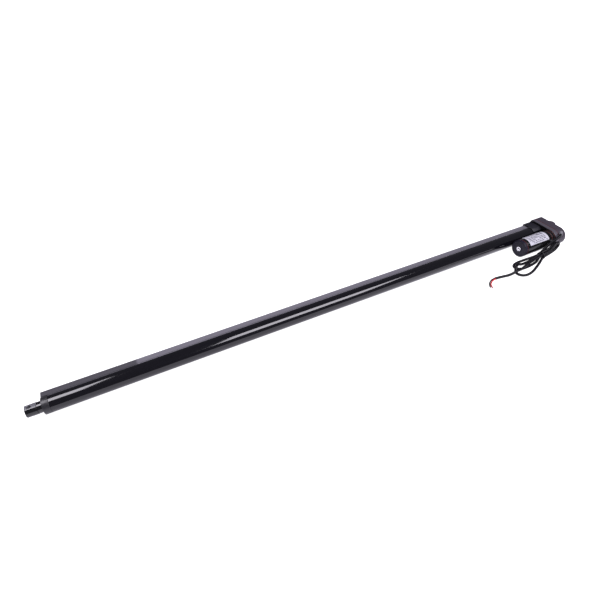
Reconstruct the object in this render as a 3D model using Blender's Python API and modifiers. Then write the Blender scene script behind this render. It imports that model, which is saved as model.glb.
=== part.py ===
"""Electric linear actuator with a 1000 mm stroke, retracted, lying on the ground.

Lengths below are millimetres, turned into Blender's metres by MM. Every piece is placed in the
actuator's own axes, held by the empty "actuator_axes":
    u  across the actuator, away from the motor    (world +Y)
    w  up                                          (world +Z)
    x  along the tube, from the rod's end to the gearbox, 0 at the tube's front end (world +X)
In the empty's local axes that order is X = u, Y = w, Z = x.
"""

import math

import bpy
import bmesh
from mathutils import Matrix, Vector

MM = 0.001

# Driving dimensions
STROKE = 1000.0
TUBE_LENGTH = STROKE + 112.0      # the nut's length, the bushes and the rod's start take 112 mm
GEARBOX_FRONT = 1120.0
GEARBOX_REAR = 1153.0
PARTING = 1131.9                  # middle of the gearbox gasket
AXIS_DISTANCE = 36.0              # tube axis to motor axis
TUBE_RADIUS = 15.4
BLOCK_BACK = 20.0                 # the extrusion's wiring channel, flat above and below
BLOCK_HALF_HEIGHT = 13.25
BORE_RADIUS = 12.3
CAP_LENGTH = 11.2                 # how much of the front cap shows
ROD_RADIUS = 10.0
ROD_BORE = 7.8
ROD_TIP = -26.5
PIN_HOLE_RADIUS = 3.25
FRONT_HOLE_X = -20.0
REAR_HOLE_X = 1166.0
MOTOR_RADIUS = 20.0
MOTOR_FRONT = 1025.6              # the motor's free end
GEARBOX_HALF_HEIGHT = 21.0
GEARBOX_BACK = 23.5
GEARBOX_CORNER = 6.0
ADAPTER_HALF_HEIGHT = 16.4
LUG_RADIUS = 11.0
LUG_HALF_HEIGHT = 10.0
CABLE_RADIUS = 3.0
WIRE_RADIUS = 1.4
GLAND_LENGTH = 18.0
GAP = 0.3

# Gear train: pinion and wheel, then pinion and output gear
MODULE_1, PINION_TEETH, WHEEL_TEETH = 0.8, 9, 26
MODULE_2, SMALL_TEETH, OUTPUT_TEETH = 1.0, 10, 34
PRESSURE_ANGLE = math.radians(25)
ADDENDUM, DEDENDUM = 0.8, 1.1     # in modules
BACKLASH = 0.09                   # taken from each tooth's thickness at the pitch circle, in modules

MOTOR_AXIS = (-AXIS_DISTANCE, 0.0)
WHEEL_AXIS = (MOTOR_AXIS[0] + MODULE_1 * (PINION_TEETH + WHEEL_TEETH) / 2, 0.0)
TUBE_AXIS = (0.0, 0.0)

FRONT_WALL = GEARBOX_FRONT + 3.0
REAR_WALL = GEARBOX_REAR - 3.0
JOURNAL_RADIUS = 4.0
SCREW_RADIUS = 5.0
SCREW_START = 34.0
SHAFT_RADIUS = 1.6
LEFT_END, RIGHT_END = ROD_TIP, REAR_HOLE_X + LUG_RADIUS
NEAR_SIDE, FAR_SIDE = MOTOR_AXIS[0] - GEARBOX_HALF_HEIGHT, GEARBOX_BACK

# Cable's route as (x, u, w): from the gland down to the tie, round two loops and two folds that the
# tie holds, and out along the ground to the bare wires
FLOOR = -GEARBOX_HALF_HEIGHT
LOW = FLOOR + CABLE_RADIUS + 0.05
TIE_X = 1070.0
CABLE_ROUTE = [
    (1124.5, -60.1, 20.7), (1116.8, -63.7, 20.6), (1108.0, -63.2, 15.4), (1099.8, -61.0, 8.6),
    (1092.0, -59.6, 0.6), (1085.0, -59.0, -6.6), (1077.5, -59.0, -13.2),
    (TIE_X, -60.0, -16.3), (1058.0, -60.2, -17.4), (1040.0, -59.3, LOW), (1020.0, -58.6, LOW),
    (1002.5, -58.8, LOW), (990.5, -61.8, LOW), (984.6, -68.2, LOW), (986.4, -76.0, LOW),
    (994.5, -80.6, LOW), (1005.0, -81.6, LOW), (1018.0, -81.2, LOW), (1033.0, -79.2, LOW),
    (1047.0, -75.4, LOW), (1059.0, -69.3, -17.6), (TIE_X, -66.3, -16.3), (1083.0, -65.0, -17.3),
    (1096.0, -63.6, -17.4), (1108.0, -62.2, -15.4), (1116.0, -61.0, -8.8), (1116.8, -61.0, 0.2),
    (1109.0, -63.4, 5.4), (1098.0, -65.9, 1.2), (1086.5, -65.8, -4.8), (1078.0, -64.3, -8.2),
    (TIE_X, -63.15, -10.7), (1058.0, -64.6, -12.9), (1046.0, -66.2, -15.7),
    (1031.0, -67.6, LOW + 0.2), (1014.0, -68.6, LOW + 0.2), (1003.0, -69.2, -15.8),
    (994.5, -70.2, -12.1), (986.3, -72.2, -11.0), (980.4, -75.6, -12.2), (975.2, -80.6, -16.7),
    (972.0, -87.6, LOW), (973.2, -94.6, LOW), (979.2, -100.2, LOW), (989.0, -102.6, LOW),
    (1001.0, -101.4, LOW), (1015.0, -97.2, LOW), (1031.0, -90.6, LOW), (1046.0, -83.8, LOW),
    (1058.5, -77.6, -17.6), (TIE_X, -72.9, -16.3), (1084.0, -71.6, -14.4), (1096.0, -70.2, -13.2),
    (1107.0, -68.8, -11.4), (1115.0, -68.0, -6.6), (1118.2, -67.8, 1.0), (1114.2, -68.0, 7.4),
    (1106.0, -69.4, 9.2), (1097.0, -71.6, 4.8), (1087.5, -72.9, -2.2), (1079.5, -72.2, -7.2),
    (TIE_X, -69.6, -10.7), (1058.0, -71.0, -11.0), (1045.0, -72.6, -11.5),
    (1032.0, -75.4, -11.5), (1020.0, -78.0, -11.4), (1009.0, -80.4, -11.5), (998.5, -82.9, -12.0),
    (988.0, -85.2, -13.0), (979.0, -86.8, -11.7), (971.0, -87.4, -11.2), (962.0, -86.8, -14.2),
    (951.0, -84.8, -17.4), (937.5, -82.2, LOW), (925.0, -80.3, LOW), (916.0, -79.4, LOW),
]
CABLE_SPACING = 11.5
WIRE_LOW = FLOOR + WIRE_RADIUS + 0.05
BLACK_ROUTE = [
    (915.0, -77.95, LOW), (908.0, -78.2, -18.9), (899.0, -82.0, WIRE_LOW), (891.4, -88.6, WIRE_LOW),
    (886.8, -95.4, WIRE_LOW),
]
RED_ROUTE = [
    (915.0, -80.85, LOW), (908.0, -81.4, -18.9), (900.2, -84.9, WIRE_LOW), (893.7, -90.5, WIRE_LOW),
    (889.6, -98.8, WIRE_LOW),
]
TINNED_LENGTH = 3.5

# Smoothness of round pieces
STEPS_OUTSIDE = 40
STEPS_INSIDE = 24
STEPS_SMALL = 16


def clear_scene():
    for obj in list(bpy.data.objects):
        bpy.data.objects.remove(obj, do_unlink=True)


def new_collection(name):
    collection = bpy.data.collections.new(name)
    bpy.context.scene.collection.children.link(collection)
    return collection


clear_scene()
PARTS = new_collection("linear_actuator")
CUTTERS = new_collection("cutters")

AXES = bpy.data.objects.new("actuator_axes", None)
PARTS.objects.link(AXES)
AXES.location = (
    -(LEFT_END + RIGHT_END) / 2 * MM,
    -(NEAR_SIDE + FAR_SIDE) / 2 * MM,
    GEARBOX_HALF_HEIGHT * MM,
)
AXES.rotation_euler = (math.pi / 2, 0, math.pi / 2)


def material(name, colour, roughness, metallic=0.0):
    made = bpy.data.materials.new(name)
    made.use_nodes = True
    shader = made.node_tree.nodes["Principled BSDF"]
    shader.inputs["Base Color"].default_value = (*colour, 1)
    shader.inputs["Roughness"].default_value = roughness
    shader.inputs["Metallic"].default_value = metallic
    return made


BLACK_ANODISED = material("black_anodised", (0.016, 0.016, 0.02), 0.16, 0.3)
BLACK_PAINT = material("black_paint", (0.02, 0.02, 0.023), 0.32)
DARK_PLASTIC = material("dark_plastic", (0.03, 0.03, 0.034), 0.5)
RED_RUBBER = material("red_rubber", (0.42, 0.02, 0.015), 0.55)
BLACK_RUBBER = material("black_rubber", (0.015, 0.015, 0.017), 0.6)
STEEL = material("steel", (0.55, 0.55, 0.56), 0.3, 1.0)
BRIGHT_STEEL = material("bright_steel", (0.8, 0.8, 0.8), 0.2, 1.0)
BRASS = material("brass", (0.7, 0.5, 0.2), 0.3, 1.0)
COPPER = material("copper", (0.75, 0.32, 0.16), 0.35, 1.0)
NYLON = material("nylon", (0.75, 0.74, 0.68), 0.45)
FERRITE = material("ferrite", (0.06, 0.06, 0.065), 0.7)
CARBON = material("carbon", (0.05, 0.05, 0.05), 0.6)
LABEL = material("label", (0.82, 0.82, 0.84), 0.45)
CIRCUIT_GREEN = material("circuit_green", (0.02, 0.14, 0.06), 0.4)
RED_WIRE = material("red_wire", (0.5, 0.02, 0.02), 0.4)
TIN = material("tin", (0.7, 0.7, 0.7), 0.3, 1.0)


# Outlines in the (u, w) plane, anticlockwise

def arc(centre, radius, start, end, count):
    """Points along an arc, both ends included; angles in degrees."""
    angles = [math.radians(start + (end - start) * i / (count - 1)) for i in range(count)]
    return [(centre[0] + radius * math.cos(a), centre[1] + radius * math.sin(a)) for a in angles]


def circle(centre, radius, count):
    return arc(centre, radius, 0, 360, count + 1)[:-1]


def rounded_box(low, high, near_radius, far_radius, count=6):
    """A box from low to high whose corners at low u and at high u have their own radii."""
    (u0, w0), (u1, w1), near, far = low, high, near_radius, far_radius
    return (
        arc((u1 - far, w0 + far), far, -90, 0, count)
        + arc((u1 - far, w1 - far), far, 0, 90, count)
        + arc((u0 + near, w1 - near), near, 90, 180, count)
        + arc((u0 + near, w0 + near), near, 180, 270, count)
    )


def keyhole(grow=0.0):
    """The extrusion's outside: a round tube that a block, flat above and below, runs out of."""
    radius = TUBE_RADIUS + grow
    half, back = BLOCK_HALF_HEIGHT + grow, BLOCK_BACK + grow
    corner = 1.2
    meet = math.degrees(math.asin(half / radius))
    block = arc((back - corner, -half + corner), corner, -90, 0, 4)
    block += arc((back - corner, half - corner), corner, 0, 90, 4)
    return block + arc(TUBE_AXIS, radius, meet, 360 - meet, STEPS_OUTSIDE - 6)


def gearbox_outline():
    corner = GEARBOX_CORNER
    u, w = GEARBOX_BACK - corner, GEARBOX_HALF_HEIGHT - corner
    return (
        arc((u, -w), corner, -90, 0, 8)
        + arc((u, w), corner, 0, 90, 8)
        + arc(MOTOR_AXIS, GEARBOX_HALF_HEIGHT, 90, 270, 29)
    )


def adapter_outline():
    """A saddle over the tube's back, with slanting jaws that stop short of the motor."""
    half, corner = ADAPTER_HALF_HEIGHT, 3.0
    back = GEARBOX_BACK - 1.0 - corner
    jaw = [(-6.0, half), (-11.5, half - 4.6), (-11.5, 4.6 - half), (-6.0, -half)]
    return (
        arc((back, corner - half), corner, -90, 0, 6)
        + arc((back, half - corner), corner, 0, 90, 6)
        + jaw
    )


def cavity_outline():
    """Room for the gears: a belt round the output gear and the motor's pinion."""
    large, small = 18.3, 8.0
    tangent = 180 - math.degrees(math.acos((large - small) / AXIS_DISTANCE))
    return (
        arc(TUBE_AXIS, large, -tangent, tangent, 20)
        + arc(MOTOR_AXIS, small, tangent, 360 - tangent, 14)
    )


def gear_outline(teeth, module, centre, phase):
    """Involute teeth; phase is the angle of one tooth's middle, in radians."""
    pitch = module * teeth / 2
    base = pitch * math.cos(PRESSURE_ANGLE)
    tip, root = pitch + ADDENDUM * module, pitch - DEDENDUM * module
    half_at_pitch = (math.pi / 2 - BACKLASH) / teeth
    involute_at_pitch = math.tan(PRESSURE_ANGLE) - PRESSURE_ANGLE

    def half_width(radius):
        pressure = math.acos(min(1.0, base / radius))
        return half_at_pitch + involute_at_pitch - (math.tan(pressure) - pressure)

    rising = [root, pitch, tip]
    points = []
    for tooth in range(teeth):
        middle = phase + 2 * math.pi * tooth / teeth
        flanks = [(r, middle - half_width(r)) for r in rising]
        flanks += [(r, middle + half_width(r)) for r in reversed(rising)]
        points += [(centre[0] + r * math.cos(a), centre[1] + r * math.sin(a)) for r, a in flanks]
    return points


def armature_outline(centre, radius, slot_depth, poles):
    """A laminated armature: wide pole faces with a narrow slot between neighbours."""
    points = []
    for pole in range(poles):
        middle = 360 * pole / poles
        half = 180 / poles - 5
        points += arc(centre, radius, middle - half, middle + half, 5)
        gap = middle + 180 / poles
        points += arc(centre, radius - slot_depth, gap - 4, gap + 4, 2)
    return points


# Objects from those outlines

def link(name, data, look, location, rotation=(0, 0, 0), collection=PARTS):
    obj = bpy.data.objects.new(name, data)
    obj.location = location
    obj.rotation_euler = rotation
    obj.parent = AXES
    collection.objects.link(obj)
    if look:
        data.materials.append(look)
    return obj


def as_cutter(obj):
    obj.hide_render = True
    obj.display_type = "WIRE"
    return obj


def shade_round(mesh):
    mesh.shade_smooth()
    mesh.set_sharp_from_angle(angle=math.radians(35))


def baked(obj):
    """The object again as a closed mesh, its modifiers applied and a curve's caps welded."""
    bpy.context.view_layer.update()
    graph = bpy.context.evaluated_depsgraph_get()
    mesh = bpy.data.meshes.new_from_object(obj.evaluated_get(graph))
    work = bmesh.new()
    work.from_mesh(mesh)
    bmesh.ops.remove_doubles(work, verts=work.verts, dist=1e-6)
    work.to_mesh(mesh)
    work.free()
    shade_round(mesh)
    name, collection, parent = obj.name, obj.users_collection[0], obj.parent
    location, rotation = obj.location.copy(), obj.rotation_euler.copy()
    bpy.data.objects.remove(obj, do_unlink=True)
    solid = bpy.data.objects.new(name, mesh)
    solid.location, solid.rotation_euler, solid.parent = location, rotation, parent
    collection.objects.link(solid)
    return solid


def flat_curve(name, loops, thickness):
    """A flat outline, its further loops being holes, as thick as thickness."""
    curve = bpy.data.curves.new(name, "CURVE")
    curve.dimensions = "2D"
    curve.fill_mode = "BOTH"
    curve.extrude = thickness / 2 * MM
    for loop in loops:
        spline = curve.splines.new("POLY")
        spline.points.add(len(loop) - 1)
        spline.use_cyclic_u = True
        for point, (a, b) in zip(spline.points, loop):
            point.co = (a * MM, b * MM, 0, 1)
    return curve


def extruded(name, loops, x0, x1, look=None, collection=PARTS):
    """Outlines in the (u, w) plane, drawn out along the tube from x0 to x1."""
    curve = flat_curve(name, loops, x1 - x0)
    return baked(link(name, curve, look, (0, 0, (x0 + x1) / 2 * MM), collection=collection))


def turned(name, profile, look=None, centre=TUBE_AXIS, steps=STEPS_INSIDE, collection=PARTS):
    """A (radius, x) profile turned about a line through centre. It runs down the outer side, from
    high x to low; one whose ends aren't on the axis closes on itself, as a ring."""
    mesh = bpy.data.meshes.new(name)
    vertices = [(radius * MM, 0, x * MM) for radius, x in profile]
    count = len(profile)
    solid = profile[0][0] == 0
    edges = [(i, (i + 1) % count) for i in range(count - 1 if solid else count)]
    mesh.from_pydata(vertices, edges, [])
    obj = link(name, mesh, look, (centre[0] * MM, centre[1] * MM, 0), collection=collection)
    screw = obj.modifiers.new("turn", "SCREW")
    screw.steps = screw.render_steps = steps
    screw.use_merge_vertices = True
    screw.merge_threshold = 1e-5
    return baked(obj)


def ring(name, inner, outer, x0, x1, look=None, centre=TUBE_AXIS, steps=STEPS_INSIDE):
    profile = [(outer, x1), (outer, x0), (inner, x0), (inner, x1)]
    return turned(name, profile, look, centre, steps)


def rod(name, radius, x0, x1, look=None, centre=TUBE_AXIS, steps=STEPS_INSIDE, collection=PARTS):
    profile = [(0, x1), (radius, x1), (radius, x0), (0, x0)]
    return turned(name, profile, look, centre, steps, collection)


def upright_pin(name, radius, x, half_height, collection=CUTTERS):
    """A cylinder standing along w on the tube's axis."""
    mesh = bpy.data.meshes.new(name)
    work = bmesh.new()
    bmesh.ops.create_cone(
        work, cap_ends=True, segments=STEPS_INSIDE, depth=2 * half_height * MM,
        radius1=radius * MM, radius2=radius * MM,
    )
    work.to_mesh(mesh)
    work.free()
    return link(name, mesh, None, (0, 0, x * MM), (math.pi / 2, 0, 0), collection)


def combine(target, other, operation):
    """A Boolean by another object, which becomes a hidden cutter."""
    boolean = target.modifiers.new(other.name, "BOOLEAN")
    boolean.operation = operation
    boolean.solver = "EXACT"
    boolean.object = as_cutter(other)


def cut(target, *cutters):
    for cutter in cutters:
        combine(target, cutter, "DIFFERENCE")


def smooth_path(route, spacing):
    """Points about spacing apart on one Catmull-Rom curve through a route of (x, u, w) points."""
    points = [Vector(p) for p in route]
    ends = [2 * points[0] - points[1], *points, 2 * points[-1] - points[-2]]
    fine = []
    for i in range(len(points) - 1):
        before, start, end, after = ends[i:i + 4]
        for step in range(24):
            t = step / 24
            fine.append(0.5 * (
                2 * start + (end - before) * t
                + (2 * before - 5 * start + 4 * end - after) * t ** 2
                + (3 * start - before - 3 * end + after) * t ** 3
            ))
    fine.append(points[-1])
    run = [0.0]
    for a, b in zip(fine, fine[1:]):
        run.append(run[-1] + (b - a).length)
    count = round(run[-1] / spacing)
    path, at = [], 0
    for i in range(count + 1):
        distance = run[-1] * i / count
        while at < len(fine) - 2 and run[at + 1] < distance:
            at += 1
        share = (distance - run[at]) / (run[at + 1] - run[at])
        path.append(fine[at].lerp(fine[at + 1], share))
    return path


def wire(name, path, radius, look):
    """A round wire along (x, u, w) points."""
    curve = bpy.data.curves.new(name, "CURVE")
    curve.dimensions = "3D"
    curve.bevel_depth = radius * MM
    curve.bevel_resolution = 2
    curve.use_fill_caps = True
    spline = curve.splines.new("POLY")
    spline.points.add(len(path) - 1)
    for point, (x, u, w) in zip(spline.points, path):
        point.co = (u * MM, w * MM, x * MM, 1)
    return link(name, curve, look, (0, 0, 0))


# Outer tube and what fills its front end

def make_tube():
    channel = rounded_box((14.0, -9.5), (18.4, 9.5), 1.0, 1.0, 3)
    bore = circle(TUBE_AXIS, BORE_RADIUS, STEPS_INSIDE)
    tube = extruded("outer_tube", [keyhole(), bore, channel], 0, TUBE_LENGTH, BLACK_ANODISED)
    seat = rod(
        "front_cap_seat", TUBE_RADIUS + GAP, -1, CAP_LENGTH + GAP, steps=STEPS_OUTSIDE,
        collection=CUTTERS,
    )
    cut(tube, seat)
    plug = rounded_box((16.0, -9.2), (18.1, 9.2), 0.8, 0.8, 3)
    extruded("channel_plug", [plug], 0.5, CAP_LENGTH, DARK_PLASTIC)
    inner, plug_radius = ROD_RADIUS + GAP, BORE_RADIUS - GAP
    turned("front_cap", [
        (plug_radius, 22), (plug_radius, CAP_LENGTH), (TUBE_RADIUS, CAP_LENGTH), (TUBE_RADIUS, 0.5),
        (TUBE_RADIUS - 0.5, 0), (inner, 0), (inner, 1.5), (12.6, 1.5), (12.6, 5.5), (inner, 5.5),
        (inner, 22),
    ], DARK_PLASTIC, steps=STEPS_OUTSIDE)
    ring("rod_wiper", ROD_RADIUS + 0.12, 12.3, 1.8, 5.2, BLACK_RUBBER)
    ring("guide_bush", ROD_RADIUS + 0.12, plug_radius, 22.4, 46, NYLON)


def make_limit_switches():
    box = rounded_box((17.0, -8), (18.0, 8), 0.1, 0.1, 2)
    extruded("limit_switch_strip", [box], 20, TUBE_LENGTH - 4, CIRCUIT_GREEN)
    for name, x in (("front_limit_switch", 60), ("rear_limit_switch", TUBE_LENGTH - 24)):
        box = rounded_box((14.5, -4), (16.7, 4), 0.3, 0.3, 2)
        extruded(name, [box], x, x + 14, DARK_PLASTIC)


# What slides: rod, rod end and nut

def make_rod():
    ring("extension_tube", ROD_BORE, ROD_RADIUS, -8.2, 1063.7, BLACK_ANODISED, steps=STEPS_OUTSIDE)
    head_radius, flat = 10.3, 9.4
    side = math.degrees(math.asin(flat / head_radius))
    outline = arc(TUBE_AXIS, head_radius, -side, side, 19)
    outline += arc(TUBE_AXIS, head_radius, 180 - side, 180 + side, 19)
    head = extruded("rod_end", [outline], ROD_TIP, -8.5, STEEL)
    bevel = head.modifiers.new("chamfer", "BEVEL")
    bevel.width = 0.5 * MM
    bevel.segments = 1
    bevel.limit_method = "ANGLE"
    bevel.angle_limit = math.radians(60)
    combine(head, rod("rod_end_spigot", ROD_BORE - GAP, -9.5, 12, collection=CUTTERS), "UNION")
    cut(head, upright_pin("front_pin_hole", PIN_HOLE_RADIUS, FRONT_HOLE_X, 15))
    nut_radius = BORE_RADIUS - GAP
    turned("drive_nut", [
        (nut_radius, 1088), (nut_radius, 1064), (7.5, 1064), (7.5, 1044), (SCREW_RADIUS + 0.25, 1044),
        (SCREW_RADIUS + 0.25, 1088),
    ], BRASS)


# What turns with the lead screw

def make_screw():
    turned("lead_screw", [
        (0, REAR_WALL), (JOURNAL_RADIUS, REAR_WALL), (JOURNAL_RADIUS, 1098), (SCREW_RADIUS, 1097),
        (SCREW_RADIUS, 40), (3.0, 40), (3.0, SCREW_START), (0, SCREW_START),
    ], STEEL)
    ring("screw_end_washer", 3.2, 7.2, 36, 39.7, STEEL)
    outline = gear_outline(OUTPUT_TEETH, MODULE_2, TUBE_AXIS, math.pi + math.pi / OUTPUT_TEETH)
    bore = circle(TUBE_AXIS, JOURNAL_RADIUS + 0.2, STEPS_SMALL)
    extruded("output_gear", [outline, bore], 1132.5, 1142.5, NYLON)
    ring("gear_circlip", JOURNAL_RADIUS + 0.2, 6.0, 1142.8, 1143.8, STEEL, steps=STEPS_SMALL)


# The gear between motor and screw, and its fixed pin

def make_intermediate():
    wheel = gear_outline(WHEEL_TEETH, MODULE_1, (0, 0), math.pi + math.pi / WHEEL_TEETH)
    bore = circle((0, 0), 2.25, STEPS_SMALL)
    gear = extruded("intermediate_gear", [wheel, bore], 1124.0, 1130.0, STEEL)
    small = gear_outline(SMALL_TEETH, MODULE_2, (0, 0), 0.0)
    pinion = extruded("intermediate_pinion", [small, bore], 1129.5, 1143.0, collection=CUTTERS)
    for obj in (gear, pinion):
        obj.location.x = WHEEL_AXIS[0] * MM
    combine(gear, pinion, "UNION")
    rod("intermediate_pin", 2.0, 1120.9, GEARBOX_REAR - 0.9, STEEL, WHEEL_AXIS, STEPS_SMALL)


# What turns in the motor

def make_rotor():
    rod("motor_shaft", SHAFT_RADIUS, MOTOR_FRONT + 1.4, 1131.5, STEEL, MOTOR_AXIS, STEPS_SMALL)
    inner = SHAFT_RADIUS + 0.2
    bore = circle((0, 0), inner, STEPS_SMALL)
    teeth = gear_outline(PINION_TEETH, MODULE_1, (0, 0), 0.0)
    pinion = extruded("motor_pinion", [teeth, bore], 1123.6, 1130.6, STEEL)
    poles = armature_outline((0, 0), 14.0, 5.0, 8)
    core = extruded("armature_core", [poles, bore], 1055, 1095, STEEL)
    for obj in (pinion, core):
        obj.location.x = MOTOR_AXIS[0] * MM
    ring("winding_front", inner + 1, 11.5, 1095.3, 1103, COPPER, MOTOR_AXIS)
    ring("winding_rear", inner + 1, 11.5, 1047.5, 1054.7, COPPER, MOTOR_AXIS)
    ring("commutator", inner, 5.0, 1038, 1047.2, COPPER, MOTOR_AXIS, STEPS_SMALL)


# The motor's fixed pieces, from its free end to the gearbox

def make_motor():
    radius = MOTOR_RADIUS
    turned("motor_end_cap", [
        (radius, 1032.6), (radius, MOTOR_FRONT + 0.8), (radius - 0.8, MOTOR_FRONT),
        (16.2, MOTOR_FRONT), (15.7, MOTOR_FRONT + 0.6), (5.7, MOTOR_FRONT + 0.6),
        (5.7, 1029), (17.8, 1029), (17.8, 1032.6),
    ], DARK_PLASTIC, MOTOR_AXIS, STEPS_OUTSIDE)
    turned("motor_end_bearing", [
        (5.4, 1030.5), (5.4, 1025.1), (4.8, 1024.5), (1.9, 1024.5), (1.9, 1030.5),
    ], BRIGHT_STEEL, MOTOR_AXIS)
    edge = radius - 0.1
    ring("end_cap_gasket", 17.9, edge, 1032.9, 1033.7, RED_RUBBER, MOTOR_AXIS, STEPS_OUTSIDE)
    ring("motor_can", 18.2, radius, 1034.0, 1110.4, BLACK_PAINT, MOTOR_AXIS, STEPS_OUTSIDE)
    ring("flange_gasket", 17.9, edge, 1110.7, 1111.5, RED_RUBBER, MOTOR_AXIS, STEPS_OUTSIDE)
    turned("motor_flange", [
        (radius, 1118.9), (radius, 1111.8), (18, 1111.8), (18, 1115), (5.3, 1115), (5.3, 1118.9),
    ], BLACK_PAINT, MOTOR_AXIS, STEPS_OUTSIDE)
    ring("motor_gasket", 7.0, edge, 1119.15, 1119.75, RED_RUBBER, MOTOR_AXIS, STEPS_OUTSIDE)
    ring("motor_front_bearing", 1.85, 5.0, 1113.5, 1118.9, BRIGHT_STEEL, MOTOR_AXIS, STEPS_SMALL)
    label = arc(MOTOR_AXIS, radius + 0.45, 50, 143, 24) + arc(MOTOR_AXIS, radius + 0.2, 143, 50, 24)
    extruded("motor_label", [label], 1041.5, 1100.5, LABEL)
    for name, middle in (("magnet_upper", 90), ("magnet_lower", 270)):
        shell = arc(MOTOR_AXIS, 17.9, middle - 60, middle + 60, 16)
        shell += arc(MOTOR_AXIS, 14.6, middle + 60, middle - 60, 16)
        extruded(name, [shell], 1052, 1098, FERRITE)
    ring("brush_plate", 6.0, 17.9, 1034.6, 1037.6, DARK_PLASTIC, MOTOR_AXIS)
    for name, side in (("brush_near", -1), ("brush_far", 1)):
        low, high = sorted((side * 5.3, side * 11.0))
        u = MOTOR_AXIS[0]
        box = rounded_box((u + low, -2), (u + high, 2), 0.2, 0.2, 2)
        extruded(name, [box], 1038.2, 1044.2, CARBON)


# Gearbox: neck, two housings, gasket, screws and bearings

def screw_places():
    near = arc(MOTOR_AXIS, 14.5, 110, 250, 2)
    return [(16.8, 14.2), (16.8, -14.2), *near]


def through_hole(name, radius, x0, x1, centre):
    return rod(name, radius, x0, x1, centre=centre, steps=STEPS_SMALL, collection=CUTTERS)


def make_gearbox():
    start = 1095.0
    outline = adapter_outline()
    adapter = extruded("tube_adapter", [outline], start, GEARBOX_FRONT - GAP, BLACK_PAINT)
    socket = extruded(
        "adapter_socket", [keyhole(GAP)], start - 1, TUBE_LENGTH + GAP, collection=CUTTERS
    )
    seat = rod("adapter_bearing_seat", 10.8, TUBE_LENGTH, GEARBOX_FRONT, collection=CUTTERS)
    cut(adapter, socket, seat)
    ring("screw_bearing", JOURNAL_RADIUS + 0.2, 10.5, 1112.8, 1119, BRIGHT_STEEL)

    outline, cavity = gearbox_outline(), cavity_outline()
    front = extruded(
        "gearbox_front_housing", [outline], GEARBOX_FRONT, PARTING - 0.65, BLACK_PAINT
    )
    rear = extruded(
        "gearbox_rear_cover", [outline], PARTING + 0.65, GEARBOX_REAR, BLACK_PAINT
    )
    gasket = extruded("gearbox_gasket", [outline, cavity], PARTING - 0.35, PARTING + 0.35, RED_RUBBER)
    gear_room = extruded("gear_room", [cavity], FRONT_WALL, REAR_WALL, collection=CUTTERS)
    pin_seat = through_hole("intermediate_pin_seat", 2.3, 1120.6, GEARBOX_REAR - 0.6, WHEEL_AXIS)
    inside = GEARBOX_REAR - 1.0 - REAR_HOLE_X
    lug_outline = arc((0, 0), LUG_RADIUS, -90, 90, 21) + [(inside, LUG_RADIUS), (inside, -LUG_RADIUS)]
    lug = flat_curve("rear_lug", [lug_outline], 2 * LUG_HALF_HEIGHT)
    lug = baked(link(
        "rear_lug", lug, None, (0, 0, REAR_HOLE_X * MM), (-math.pi / 2, -math.pi / 2, 0), CUTTERS
    ))
    combine(rear, lug, "UNION")
    cut(front, gear_room, pin_seat)
    cut(front, through_hole("screw_journal_hole", 4.8, 1119, 1124, TUBE_AXIS))
    cut(front, through_hole("motor_shaft_hole", 3.0, 1119, 1124, MOTOR_AXIS))
    cut(rear, gear_room, pin_seat)
    cut(rear, rod("rear_bush_seat", 7.3, REAR_WALL - 1, GEARBOX_REAR + 1, collection=CUTTERS))
    cut(rear, upright_pin("rear_pin_hole", PIN_HOLE_RADIUS, REAR_HOLE_X, 15))
    ring("rear_bush", JOURNAL_RADIUS + 0.2, 7.0, REAR_WALL - 2.6, GEARBOX_REAR - 0.3, BRASS)

    for number, place in enumerate(screw_places(), 1):
        hole = through_hole(f"cover_screw_hole_{number}", 1.9, 1121.5, GEARBOX_REAR + 1, place)
        for piece in (front, gasket, rear):
            cut(piece, hole)
        seat, top = GEARBOX_REAR + GAP, GEARBOX_REAR + 2.9
        turned(f"cover_screw_{number}", [
            (0, top), (2.6, top), (3.4, top - 0.7), (3.4, seat), (1.6, seat), (1.6, 1122.2),
            (0, 1122.2),
        ], STEEL, place, STEPS_SMALL)
    return rear


# Cable with its gland, tie and bare wires

def gland_place():
    """Where the cable leaves the rear cover, and in which direction, as (u, w, x) vectors."""
    angle = math.radians(130)
    u = MOTOR_AXIS[0] + GEARBOX_HALF_HEIGHT * math.cos(angle)
    w = GEARBOX_HALF_HEIGHT * math.sin(angle)
    return Vector((u, w, 1140.0)), Vector((-0.55, 0.24, -0.80)).normalized()


def slanted(obj, place, direction):
    """Stands a piece that was turned about Z on place, along direction."""
    turn = direction.to_track_quat("Z", "Y").to_matrix().to_4x4()
    obj.matrix_local = Matrix.Translation(place * MM) @ turn


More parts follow.
